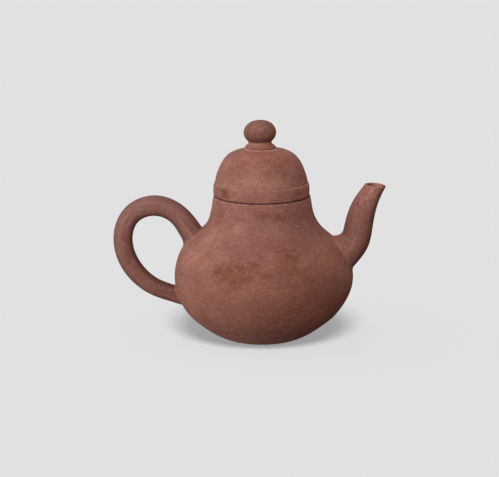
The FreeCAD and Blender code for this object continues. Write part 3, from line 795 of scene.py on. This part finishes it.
    shader = n.add("ShaderNodeBsdfPrincipled", {"Base Color": colour, "Specular IOR Level": 0.2})
    rough = n.ramp(cloud, 0.3, 0.7, 0.6, 0.75)
    n.tree.links.new(rough, shader.inputs["Roughness"])
    height = n.math("ADD", n.math("MULTIPLY", grain, 0.5), n.math("MULTIPLY", lines, 0.35))
    height = n.math("ADD", height, blots)
    bump = n.add("ShaderNodeBump", {"Height": height, "Strength": 0.4, "Distance": 0.25 * MM})
    n.tree.links.new(bump.outputs[0], shader.inputs["Normal"])
    out = n.add("ShaderNodeOutputMaterial")
    n.tree.links.new(shader.outputs[0], out.inputs[0])
    return material


clay = clay_material("unglazed_clay", (1.0, 1.0, 1.0), None)
coil_clay = clay_material("unglazed_clay_coil", (0.95, 1.0, 1.05), (0.62, 0.4, 0.62))
tube_clay = clay_material("unglazed_clay_spout", (1.02, 1.0, 1.02), (0.25, 0.5, 0.25))
for made in PIECES.values():
    for node, piece in made.items():
        piece.data.materials.append({"handle": coil_clay, "spout": tube_clay}.get(node, clay))

# Floor, a little below the foot
FLOOR_SIZE, FLOOR_DROP = 12.0, 0.0001
bpy.ops.mesh.primitive_plane_add(size=FLOOR_SIZE, location=(0, 0, -FLOOR_DROP))
floor = bpy.context.object
floor.name = "floor"
floor.visible_diffuse = False
floor.visible_glossy = False
floor.visible_shadow = False
paper = bpy.data.materials.new("pale_floor")
n = Nodes(paper)
shader = n.add("ShaderNodeBsdfPrincipled", {"Base Color": (0.08, 0.08, 0.08, 1), "Roughness": 0.95,
                                            "Specular IOR Level": 0.0, "Emission Color": (1, 1, 1, 1),
                                            "Emission Strength": 0.33})
out = n.add("ShaderNodeOutputMaterial")
n.tree.links.new(shader.outputs[0], out.inputs[0])
floor.data.materials.append(paper)

# Light: a soft lamp from the front and above, for the floor alone. Handle, spout and knob cast no shadow
# on it, because the photograph shows none of them there
SOFTBOX_ENERGY, SOFTBOX_ANGLE, SOFTBOX_TILT = 19.6, math.radians(22), math.radians(46)
softbox = bpy.data.lights.new("floor_softbox", "SUN")
softbox.energy = SOFTBOX_ENERGY
softbox.angle = SOFTBOX_ANGLE
lamp = bpy.data.objects.new("floor_softbox", softbox)
lamp.rotation_euler = (SOFTBOX_TILT, 0, 0)
bpy.context.scene.collection.objects.link(lamp)
lit = bpy.data.collections.new("lit_by_floor_softbox")
lit.objects.link(floor)
lamp.light_linking.receiver_collection = lit
shading = bpy.data.collections.new("shading_the_floor")
for piece in (body_wall, base_disc, neck_wall, lid_band, lid_dome):
    shading.objects.link(piece)
lamp.light_linking.blocker_collection = shading

# Light: a wide soft glow from the upper left for the pot, a little warm on its dim side
GLOW = Vector((-0.68, -0.31, 0.67)).normalized()
world = bpy.data.worlds.new("studio")
bpy.context.scene.world = world
n = Nodes(world)
toward = n.add("ShaderNodeTexCoord").outputs["Generated"]
facing = n.vector("DOT_PRODUCT", toward, GLOW)["Value"]
strength = n.add("ShaderNodeMapRange", {"Value": facing, "From Min": -0.64, "From Max": 1.0,
                                        "To Min": 0.02, "To Max": 1.46}).outputs["Result"]
tone = n.mix(n.ramp(facing, -0.7, 0.5), (1.0, 0.76, 0.64, 1), (1, 1, 1, 1))
sky = n.add("ShaderNodeBackground", {"Color": tone, "Strength": strength})
out = n.add("ShaderNodeOutputWorld")
n.tree.links.new(sky.outputs[0], out.inputs[0])

# Camera: the photograph's angle, 12 degrees above the horizon, with the size of its pixels at the pot
# and the pixel where the middle of the foot stands
PHOTO_WIDTH, PHOTO_HEIGHT = 499, 477
FOOT_PIXEL_X, FOOT_PIXEL_Y = 261.9, 337.5
PIXEL = 0.4228 * MM
ELEVATION = math.radians(12.0)
DISTANCE = 1.2
SENSOR = 36.0
aside = (PHOTO_WIDTH / 2 - FOOT_PIXEL_X) * PIXEL
above = (FOOT_PIXEL_Y - PHOTO_HEIGHT / 2) * PIXEL / math.cos(ELEVATION)
lens = bpy.data.cameras.new("camera")
lens.sensor_fit = "HORIZONTAL"
lens.sensor_width = SENSOR
lens.lens = SENSOR * DISTANCE / (PHOTO_WIDTH * PIXEL)
lens.clip_end = 50
camera = bpy.data.objects.new("camera", lens)
backwards = Vector((0, -math.cos(ELEVATION), math.sin(ELEVATION)))
camera.location = Vector((aside, 0, above)) + DISTANCE * backwards
camera.rotation_euler = (math.pi / 2 - ELEVATION, 0, 0)
bpy.context.scene.collection.objects.link(camera)
bpy.context.scene.camera = camera
bpy.context.scene.view_settings.view_transform = "Standard"
